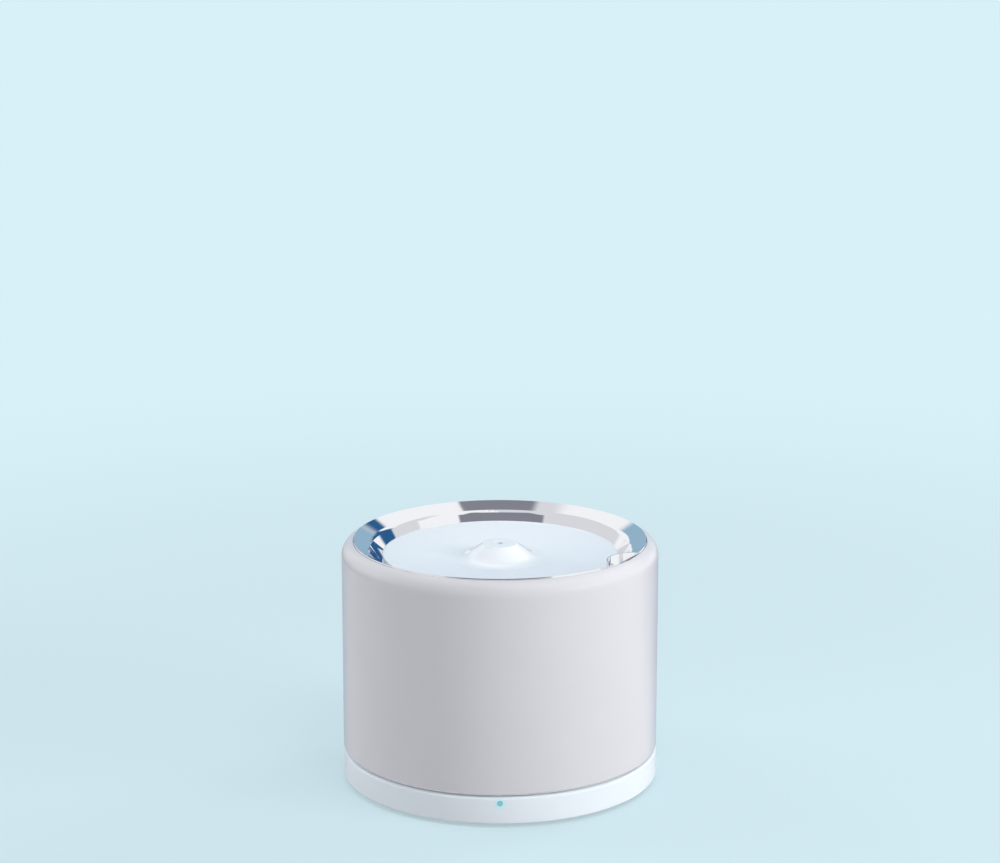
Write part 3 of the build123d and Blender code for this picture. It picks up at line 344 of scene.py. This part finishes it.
# Black, soft and half dull.
seal_rubber = moulded("silicone rubber, moulded, black", "#1E1F22", "#191A1C", 0.5, grain_mm=0.7,
                      relief_mm=0.02)
dress(seal_rubber, "tank_rim_seal", "pump_housing_seal", "hub_seal")


# ---------------------------------------------------------------- steel liner
# Stainless steel, deep-drawn and then brushed while it turned. The fine lines run around it, so its
# sheen is drawn out upright, and a mirrored lamp shows as an upright band.
def brushed_round(name, bright, dull, roughness, line_mm):
    """Steel brushed around its axis: sharp from side to side, drawn out up and down.

    The brush's real lines are finer than a tenth of a millimetre, and are drawn coarser to show. The
    steel looks darker edgewise, because the lines then lie in each other's shadow.
    """
    runs = 12.0   # a line is some 80 mm long
    material, tree, place = start(name)
    lines_place = add(tree, "ShaderNodeMapping", {"Vector": place, "Scale": (runs, runs, 1000 / line_mm)})
    lines = add(tree, "ShaderNodeTexNoise", {"Vector": lines_place.outputs[0], "Scale": 1.0, "Detail": 2.0})
    shade = add(tree, "ShaderNodeMix", {
        0: lines.outputs[0], 6: linear(bright), 7: linear(dull)}, data_type="RGBA")
    round_about = add(tree, "ShaderNodeTangent", direction_type="RADIAL", axis="Z")
    close(tree, add(tree, "ShaderNodeBsdfPrincipled", {
        "Base Color": shade.outputs[2], "Metallic": 1.0, "Roughness": roughness, "Anisotropic": 0.5,
        "Anisotropic Rotation": 0.25, "Tangent": round_about.outputs[0], "Specular Tint": linear("#404046")}))
    return material


liner_steel = brushed_round("stainless steel, deep-drawn, brushed round", "#E4E4E7", "#D8D8DC", 0.07,
                            line_mm=0.5)
dress(liner_steel, "tank_steel_liner")


# ---------------------------------------------------------------- pump housing
# Dark grey ABS in two halves with a satin surface, on four rubber pads. The spigot is part of the
# upper half.
for half, fresh, shaded in (("upper", "#4B4A55", "#464550"), ("lower", "#504F5A", "#4B4A55")):
    half_abs = moulded("ABS, moulded, charcoal satin, " + half, fresh, shaded, 0.4, grain_mm=0.8,
                       relief_mm=0.012)
    dress(half_abs, "pump_%s_housing" % half)
dress(foot_rubber, "pump_pads")


# ---------------------------------------------------------------- inlet foam
# A strip of black open-cell polyurethane foam, cut from a block and bent over the edge of the pump.
# Its pores show as a rough, dark skin.
foam_low, foam_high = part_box("inlet_foam")
foam_thick = 0.0024
foam_cell = 0.0013
foam_depth = 0.00048
foam_voxel = 0.0003
foam_pore = 1.6   # the larger, the narrower each pore
foam_bend = 0.0008
foam_corner = 0.0033


def foam_strip():
    """A strip bent over an edge, with round corners at its tip."""
    inset, exact = 0.00008, 1e-6
    left, right = foam_low.x + inset, foam_high.x - inset
    front, rear = foam_low.y + inset, foam_high.y - inset
    top, tip = foam_high.z - inset, foam_low.z + inset
    inner_y, inner_z = front + foam_thick, top - foam_thick
    side = [(rear, inner_z), (rear, top), (front, top), (front, tip), (inner_y, tip), (inner_y, inner_z)]
    mesh = bmesh.new()
    faces = [[mesh.verts.new((x, y, z)) for y, z in side] for x in (left, right)]
    mesh.faces.new(faces[0])
    mesh.faces.new(faces[1][::-1])
    for step in range(len(side)):
        after = (step + 1) % len(side)
        mesh.faces.new((faces[0][step], faces[1][step], faces[1][after], faces[0][after]))
    bend = [edge for edge in mesh.edges if all(
        abs(v.co.y - front) < exact and abs(v.co.z - top) < exact for v in edge.verts)]
    bmesh.ops.bevel(mesh, geom=bend, offset=foam_bend, segments=4, affect="EDGES", profile=0.5)
    corners = [edge for edge in mesh.edges if all(abs(v.co.z - tip) < exact for v in edge.verts)
               and abs(edge.verts[0].co.x - edge.verts[1].co.x) < exact]
    bmesh.ops.bevel(mesh, geom=corners, offset=foam_corner, segments=8, affect="EDGES", profile=0.5)
    return shown(mesh, "foam_strip", foam_cells(), "foam")


def foam_cells():
    """Open-cell foam, fully dull: pores painted near black as shade, struts lighter as highlight."""
    strut_relief_mm = 0.3
    material, tree, place = start("polyurethane foam, open-cell, black")
    cells = add(tree, "ShaderNodeTexVoronoi", {"Vector": place, "Scale": 1 / foam_cell})
    # painted shade and highlight: near black in each pore's middle, a lighter blue-grey on the struts
    shade = add(tree, "ShaderNodeMix", {
        0: cells.outputs["Distance"], 6: linear("#010204"), 7: linear("#1E2831")}, data_type="RGBA")
    bump = add(tree, "ShaderNodeBump", {
        "Height": cells.outputs["Distance"], "Distance": strut_relief_mm / 1000, "Strength": 0.8})
    close(tree, add(tree, "ShaderNodeBsdfPrincipled", {
        "Base Color": shade.outputs[2], "Roughness": 0.95, "Normal": bump.outputs[0],
        "Specular IOR Level": 0.15}))
    return material


def applied(piece, kind, **settings):
    """Adds a modifier to a piece and applies it to its mesh."""
    modifier = piece.modifiers.new(kind.lower(), kind)
    for name, value in settings.items():
        setattr(modifier, name, value)
    ready = piece.evaluated_get(bpy.context.evaluated_depsgraph_get())
    data = bpy.data.meshes.new_from_object(ready)
    piece.modifiers.clear()
    piece.data = data
    return piece


def uneven(piece, cell, depth, sunk):
    """Sinks a piece's skin by a share of a depth that follows the distance to the nearest cell's middle."""
    spots = [(vertex.co.copy(), vertex.normal.copy()) for vertex in piece.data.vertices]
    moved = [value for spot, way in spots for value in
             spot - way * depth * sunk(noise.voronoi(spot / cell)[0][0])]
    piece.data.vertices.foreach_set("co", moved)
    piece.data.polygons.foreach_set("use_smooth", [True] * len(piece.data.polygons))
    piece.data.update()


foam = applied(foam_strip(), "REMESH", mode="VOXEL", voxel_size=foam_voxel)
uneven(foam, foam_cell, foam_depth, lambda away: max(0.0, 1.0 - foam_pore * away))
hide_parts("inlet_foam")


# ---------------------------------------------------------------- pump's motor
# A volute, its lid and an impeller of natural acetal, a stack of stamped core sheets, a ground
# steel pin and dark bushes. The housing closes them in.

# Milky white and slightly waxy.
acetal = moulded("acetal, moulded, natural", "#E4E3DE", "#DBDAD4", 0.42, grain_mm=0.7, relief_mm=0.01)
dress(acetal, "volute_cup", "volute_lid", "impeller")
# Dark grey, with the edges of its sheets as fine level lines.
core_sheets = machined("silicon steel, stamped and stacked", "#7C7F86", "#5D6067", 0.42, line_mm=0.5,
                       run_mm=40.0, relief_mm=0.06)
dress(core_sheets, "stator_core")
# Bright, with hardly visible lines from the grinding.
ground_pin = machined("stainless steel, ground", "#C6C7C9", "#B7B8BA", 0.14, line_mm=0.3, run_mm=4.0,
                      relief_mm=0.003)
dress(ground_pin, "impeller_shaft")
# Dark grey with a greasy half gloss.
bush_plastic = moulded("graphite-filled acetal, turned", "#333438", "#2B2C2F", 0.4, grain_mm=0.5,
                       relief_mm=0.01)
dress(bush_plastic, "shaft_bushes")


# ---------------------------------------------------------------- bowl
# Stainless steel, spun and buffed to a mirror on a cloth wheel. The buffing leaves a faint haze and
# a hardly visible waviness.
def mirror_steel():
    """Mirror-polished steel with a soft haze."""
    haze_mm, wave_mm, wave_relief_mm = 18, 26, 0.02
    sharp, hazy = 0.03, 0.055
    material, tree, place = start("stainless steel, spun, mirror-buffed")
    haze = add(tree, "ShaderNodeTexNoise", {"Vector": place, "Scale": 1000 / haze_mm, "Detail": 4.0})
    gloss = add(tree, "ShaderNodeMapRange", {
        "Value": haze.outputs[0], "From Min": 0.3, "From Max": 0.7, "To Min": sharp, "To Max": hazy})
    shade = add(tree, "ShaderNodeMix", {
        0: haze.outputs[0], 6: linear("#FCFCFD"), 7: linear("#F6F7F9")}, data_type="RGBA")
    wave = add(tree, "ShaderNodeTexNoise", {"Vector": place, "Scale": 1000 / wave_mm, "Detail": 1.0})
    bump = add(tree, "ShaderNodeBump", {
        "Height": wave.outputs[0], "Distance": wave_relief_mm / 1000, "Strength": 0.4})
    close(tree, add(tree, "ShaderNodeBsdfPrincipled", {
        "Base Color": shade.outputs[2], "Metallic": 1.0, "Roughness": gloss.outputs[0],
        "Normal": bump.outputs[0]}))
    return material


dress(mirror_steel(), "steel_bowl")


# ---------------------------------------------------------------- hub, collar and sleeve
# Polypropylene, moulded, with a low waxy gloss: the white hub stands in the bowl, and the fluted grey
# collar clamps it from below. The sleeve, pushed on the hub's end, is soft and duller silicone.
hub_polypropylene = moulded("polypropylene, moulded, warm grey", "#BAB8BF", "#B2B0B7", 0.45, grain_mm=0.8,
                            relief_mm=0.01)
dress(hub_polypropylene, "hub_collar")
hub_white = moulded("polypropylene, moulded, white", "#E9E9EC", "#E2E2E6", 0.4, grain_mm=0.8, relief_mm=0.008)
dress(hub_white, "bowl_hub")
sleeve_silicone = moulded("silicone rubber, moulded, grey", "#C2C0C6", "#BBB9BF", 0.5, grain_mm=0.9,
                          relief_mm=0.015)
dress(sleeve_silicone, "nozzle_sleeve")


# ---------------------------------------------------------------- filter
# A satin polypropylene cover and tray around felted cotton and carbon granules. The felt is soft
# and matt, and the granules are hard, black and angular.
cover_plastic = moulded("polypropylene, moulded, satin pale grey", "#E6EEF4", "#E1E9F0", 0.46, grain_mm=1.0,
                        relief_mm=0.01)
dress(cover_plastic, "filter_cover", "filter_tray")


def filter_ring(name, node, material, step_mm, depth):
    """A ring of loose filling: it fills its solid's space, and its skin sinks in unevenly."""
    turns, edge_share, lump_mm = 96, 0.28, 2.4 * step_mm
    low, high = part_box(node)
    outer, inner = high.x - filling_gap, filling_bore
    edge = (high.z - low.z) * edge_share
    side = [(inner, low.z), (outer - edge, low.z), (outer, low.z + edge), (outer, high.z - edge),
            (outer - edge, high.z), (inner, high.z)]
    mesh = bmesh.new()
    rings = [[mesh.verts.new((r * cos(2 * pi * turn / turns), r * sin(2 * pi * turn / turns), z))
              for r, z in side] for turn in range(turns)]
    for turn in range(turns):
        after = rings[(turn + 1) % turns]
        for place in range(len(side)):
            nearby = (place + 1) % len(side)
            mesh.faces.new((rings[turn][place], after[place], after[nearby], rings[turn][nearby]))
    ring = shown(mesh, name, material, "filter")
    piece = applied(ring, "REMESH", mode="VOXEL", voxel_size=step_mm / 1000)
    uneven(piece, lump_mm / 1000, depth, lambda away: min(1.0, away))
    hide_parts(node)


def felted_cotton():
    """Cotton felt: off-white fibres that cross each other, with a soft sheen at its edges."""
    tuft_mm, tuft_relief_mm = 0.8, 0.2
    material, tree, place = start("cotton, felted")
    fibres = add(tree, "ShaderNodeTexNoise", {"Vector": place, "Scale": 1000 / tuft_mm, "Detail": 6.0})
    shade = add(tree, "ShaderNodeMix", {
        0: fibres.outputs[0], 6: linear("#F0EEE8"), 7: linear("#D9D6CC")}, data_type="RGBA")
    bump = add(tree, "ShaderNodeBump", {
        "Height": fibres.outputs[0], "Distance": tuft_relief_mm / 1000, "Strength": 0.8})
    close(tree, add(tree, "ShaderNodeBsdfPrincipled", {
        "Base Color": shade.outputs[2], "Roughness": 0.95, "Normal": bump.outputs[0], "Sheen Weight": 0.3}))
    return material


def carbon_granules():
    """Activated carbon: black grains, painted lighter in their middles as highlight and darker between as
    shade.
    """
    granule_mm, granule_relief_mm = 1.6, 0.4
    material, tree, place = start("activated carbon, granulated")
    grains = add(tree, "ShaderNodeTexVoronoi", {"Vector": place, "Scale": 1000 / granule_mm})
    # painted highlight and shade: lighter at each grain's middle, darker where grains meet
    shade = add(tree, "ShaderNodeMix", {
        0: grains.outputs["Distance"], 6: linear("#2A2A2C"), 7: linear("#101011")}, data_type="RGBA")
    bump = add(tree, "ShaderNodeBump", {
        "Height": grains.outputs["Distance"], "Distance": granule_relief_mm / 1000, "Strength": 0.9})
    close(tree, add(tree, "ShaderNodeBsdfPrincipled", {
        "Base Color": shade.outputs[2], "Roughness": 0.55, "Normal": bump.outputs[0]}))
    return material


filling_gap = 0.0001
filling_bore = filling_gap + min(
    Vector(vertex.co[:2]).length for vertex in frame["nodes"]["filter_cotton"].data.vertices)
filter_ring("cotton_pad", "filter_cotton", felted_cotton(), step_mm=0.8, depth=0.00025)
filter_ring("carbon_bed", "filter_carbon", carbon_granules(), step_mm=0.8, depth=0.0005)


# ---------------------------------------------------------------- spray disc
# Two layers of high-gloss white ABS, moulded in a polished tool, and a threaded stem of clear
# polycarbonate.
gloss_abs = moulded("ABS, moulded, high gloss", "#ECF2F7", "#E8EFF4", 0.16, grain_mm=2.2, relief_mm=0.003,
                    coat_weight=0.4, coat_roughness=0.05)
dress(gloss_abs, "spray_disc", "disc_underplate", "disc_outlet")


def clear_stem():
    """Clear polycarbonate that looks milky in its thread."""
    flow_mm, flow_relief_mm = 2.5, 0.02
    material, tree, place = start("polycarbonate, moulded, clear")
    flow = add(tree, "ShaderNodeTexNoise", {"Vector": place, "Scale": 1000 / flow_mm, "Detail": 2.0})
    shade = add(tree, "ShaderNodeMix", {
        0: flow.outputs[0], 6: linear("#F8FAFC"), 7: linear("#EEF3F7")}, data_type="RGBA")
    bump = add(tree, "ShaderNodeBump", {
        "Height": flow.outputs[0], "Distance": flow_relief_mm / 1000, "Strength": 0.4})
    close(tree, add(tree, "ShaderNodeBsdfPrincipled", {
        "Base Color": shade.outputs[2], "Roughness": 0.2, "Normal": bump.outputs[0], "IOR": 1.58,
        "Transmission Weight": 0.05}))
    return material


dress(clear_stem(), "disc_stem")


# ---------------------------------------------------------------- floor
# Not part of the fountain: a wide, plain, pale floor that runs into the backdrop far away. It keeps
# the fountain's shadow.
backdrop = "#D8F0F8"


def pale_floor():
    """A pale floor that looks as plain as the backdrop from far, and takes a shadow from near."""
    near, far, near_share = 0.3, 1.1, 0.55
    material, tree, place = start("paper, pale blue")
    seen = add(tree, "ShaderNodeLightPath").outputs["Is Camera Ray"]
    away = add(tree, "ShaderNodeVectorMath", {0: place}, operation="LENGTH").outputs["Value"]
    plainness = add(tree, "ShaderNodeMapRange", {
        "Value": away, "From Min": near, "From Max": far, "To Min": near_share, "To Max": 1.0},
        interpolation_type="SMOOTHSTEP")
    share = add(tree, "ShaderNodeMath", {0: plainness.outputs[0], 1: seen}, operation="MULTIPLY")
    bounce = add(tree, "ShaderNodeMix", {
        0: seen, 6: linear("#DEDEDF"), 7: linear("#BDD2D9")}, data_type="RGBA")
    paper = add(tree, "ShaderNodeBsdfDiffuse", {"Color": bounce.outputs[2]})
    plain = add(tree, "ShaderNodeEmission", {"Color": linear(backdrop)})
    close(tree, add(tree, "ShaderNodeMixShader", {
        0: share.outputs[0], 1: paper.outputs[0], 2: plain.outputs[0]}))
    return material


floor_mesh = bmesh.new()
floor_radius = 40.0
bmesh.ops.create_circle(floor_mesh, cap_ends=True, segments=96, radius=floor_radius)
floor_data = bpy.data.meshes.new("floor")
floor_mesh.to_mesh(floor_data)
floor_mesh.free()
floor = bpy.data.objects.new("floor", floor_data)
bpy.context.scene.collection.objects.link(floor)
floor_data.materials.append(pale_floor())


# ---------------------------------------------------------------- studio
# Soft lamps at the sides, above and behind. Glossy pieces mirror a room of painted panels around the
# fountain, each over those before it: its paint, the turns about the upright that it spans, with 0 at
# the front and more to the right, and the rises that it spans, each with its soft edge, in degrees.
studio_paints = {
    "white": "#F7F7F9", "pale": "#DADBDF", "silver": "#C2C2C8", "grey": "#83848F", "dark": "#4A4B55",
    "black": "#191A22", "sky": "#93B3C9", "blue": "#2B5C8C"}
studio_panels = [
    ("white", (0, 200, 2), (-90, 100, 1)),
    ("pale", (-42, 42, 3), (-12, 37, 3)),
    ("grey", (-48, 45, 1.5), (36, 67, 2)),
    ("pale", (88, 118, 1.5), (-12, 60, 3)),
    ("white", (-200, -135, 3), (6, 60, 3)),
    ("sky", (-200, -157, 2), (-12, 30, 3)),
    ("grey", (-200, -157, 2), (56, 100, 5)),
    ("blue", (118, 158, 1.5), (12, 28, 1.5)),
    ("sky", (152, 200, 5), (-12, 25, 3)),
    ("blue", (155.3, 200, 0.7), (26, 40, 4)),
    ("grey", (155.3, 200, 0.7), (40, 100, 4)),
    ("white", (-200, 200, 1), (-100, -33, 1)),
    ("dark", (106, 122, 1), (-55, -44, 2)),
    ("blue", (121, 146, 2), (-47, -31, 2)),
    ("sky", (145, 200, 2), (-37, -14, 2)),
    ("blue", (165, 200, 2), (-33, -25, 2)),
    ("black", (-132, -121, 1), (-48, -37, 2)),
    ("blue", (-149, -131, 2), (-46, -28, 2)),
    ("sky", (-200, -149, 2), (-36, -14, 2)),
    ("blue", (-200, -165, 2), (-33, -21, 2)),
    ("black", (-57.5, 48.5, 0.7), (-24, -18.5, 0.7)),
    ("silver", (-200, 200, 1), (-15.5, -1, 0.5)),
    ("grey", (-200, -109, 9), (-14.6, -6, 0.5)),
    ("dark", (107, 200, 10), (-14.6, -6, 0.5)),
    ("blue", (127, 200, 3), (-18, -14.4, 0.4)),
    ("black", (51, 70, 0.6), (-16, -1, 0.5)),
    ("black", (-88, -69.5, 0.6), (-16, -1, 0.5)),
]


def studio():
    """The world: a plain backdrop for the eye, even light for matt pieces, panels for glossy ones."""
    level_light, upper_light = 0.15, 0.82
    world = bpy.data.worlds.new("studio")
    world.use_nodes = True
    bpy.context.scene.world = world
    tree = world.node_tree
    tree.nodes.clear()
    way = add(tree, "ShaderNodeSeparateXYZ", {"Vector": add(tree, "ShaderNodeTexCoord").outputs["Generated"]})
    ahead = add(tree, "ShaderNodeMath", {0: way.outputs["Y"], 1: -1.0}, operation="MULTIPLY")
    turn = add(tree, "ShaderNodeMath", {
        0: way.outputs["X"], 1: ahead.outputs[0]}, operation="ARCTAN2").outputs[0]
    rise = add(tree, "ShaderNodeMath", {0: way.outputs["Z"]}, operation="ARCSINE").outputs[0]

    def edge(value, degrees, soft, below, above):
        """Goes from one number to another where an angle passes a limit, over a soft edge."""
        return add(tree, "ShaderNodeMapRange", {
            "Value": value, "From Min": radians(degrees - soft), "From Max": radians(degrees + soft),
            "To Min": below, "To Max": above}, interpolation_type="SMOOTHSTEP").outputs[0]

    def both(one, other):
        """Where two areas overlap."""
        return add(tree, "ShaderNodeMath", {0: one, 1: other}, operation="MULTIPLY").outputs[0]

    def span(value, start, end, soft):
        """1 where an angle is between two limits, and 0 elsewhere."""
        return both(edge(value, start, soft, 0.0, 1.0), edge(value, end, soft, 1.0, 0.0))

    panels = linear(studio_paints["pale"])
    for paint, turns, rises in studio_panels:
        panels = add(tree, "ShaderNodeMix", {
            0: both(span(turn, *turns), span(rise, *rises)), 6: panels, 7: linear(studio_paints[paint])},
            data_type="RGBA").outputs[2]
    light = add(tree, "ShaderNodeLightPath")
    mirrored = add(tree, "ShaderNodeBackground", {"Color": panels, "Strength": 1.0})
    strength = add(tree, "ShaderNodeMapRange", {
        "Value": way.outputs["Z"], "From Min": 0.0, "From Max": 1.0,
        "To Min": level_light, "To Max": upper_light}).outputs[0]
    even = add(tree, "ShaderNodeBackground", {"Color": linear(studio_paints["white"]), "Strength": strength})
    seen = add(tree, "ShaderNodeBackground", {"Color": linear(backdrop), "Strength": 1.0})
    matt = add(tree, "ShaderNodeMixShader", {
        0: light.outputs["Is Glossy Ray"], 1: even.outputs[0], 2: mirrored.outputs[0]})
    eye = add(tree, "ShaderNodeMath", {
        0: light.outputs["Is Camera Ray"], 1: light.outputs["Is Transmission Ray"]}, operation="MAXIMUM")
    whole = add(tree, "ShaderNodeMixShader", {0: eye.outputs[0], 1: matt.outputs[0], 2: seen.outputs[0]})
    add(tree, "ShaderNodeOutputWorld", {"Surface": whole.outputs[0]})


studio()


lamp_aim = Vector((0, 0, 0.15))


def lamp(name, place, size, watts, code):
    """A soft lamp that faces the fountain and isn't mirrored in it."""
    data = bpy.data.lights.new(name, "AREA")
    data.shape = "DISK"
    data.size = size
    data.energy = watts
    data.color = linear(code)[:3]
    light = bpy.data.objects.new(name, data)
    bpy.context.scene.collection.objects.link(light)
    light.location = place
    light.rotation_euler = (lamp_aim - light.location).to_track_quat("-Z", "Y").to_euler()
    light.visible_glossy = False


lamp("key", (1.06, -0.52, 0.42), 0.5, 6.8, "#FFFFFF")
lamp("side", (-2.1, 0.6, 0.8), 0.9, 13.0, "#FAFCFF")
lamp("overhead", (0.0, -0.5, 2.6), 1.6, 7.0, "#FDFDFF")
lamp("overhead, near", (0.2, -0.45, 0.95), 0.4, 1.9, "#FDFDFF")
lamp("rear right", (1.75, 1.5, 1.4), 1.0, 14.0, "#FFFFFF")
lamp("rear left", (-1.75, 1.5, 1.4), 1.0, 8.0, "#F8FBFF")


# ---------------------------------------------------------------- what polished pieces mirror
# Each piece mirrors the studio alone, as it does where it is set up by itself, and not the pieces
# lifted over and under it. Only the bowl and its hub are mirrored, and so they show in the bowl.
for piece in bpy.data.objects:
    if piece.type == "MESH":
        piece.visible_glossy = piece in (frame["nodes"]["steel_bowl"], frame["nodes"]["bowl_hub"])


# ---------------------------------------------------------------- camera
# A long lens in front of the fountain, a little above it, 1.66 m from the middle of the lifted pieces.
# The frame holds them all, lifted apart or put together.
camera_pitch = radians(13.54)
camera_distance = 1.6646
camera_aim = Vector((0.0, 0.0, 0.2025))
camera_data = bpy.data.cameras.new("camera")
camera_data.lens = 106.4
camera_data.sensor_width = 36.0
camera = bpy.data.objects.new("camera", camera_data)
bpy.context.scene.collection.objects.link(camera)
camera.location = camera_aim + camera_distance * Vector((0.0, -cos(camera_pitch), sin(camera_pitch)))
camera.rotation_euler = (pi / 2 - camera_pitch, 0.0, 0.0)
bpy.context.scene.camera = camera
bpy.context.scene.view_settings.view_transform = "Standard"
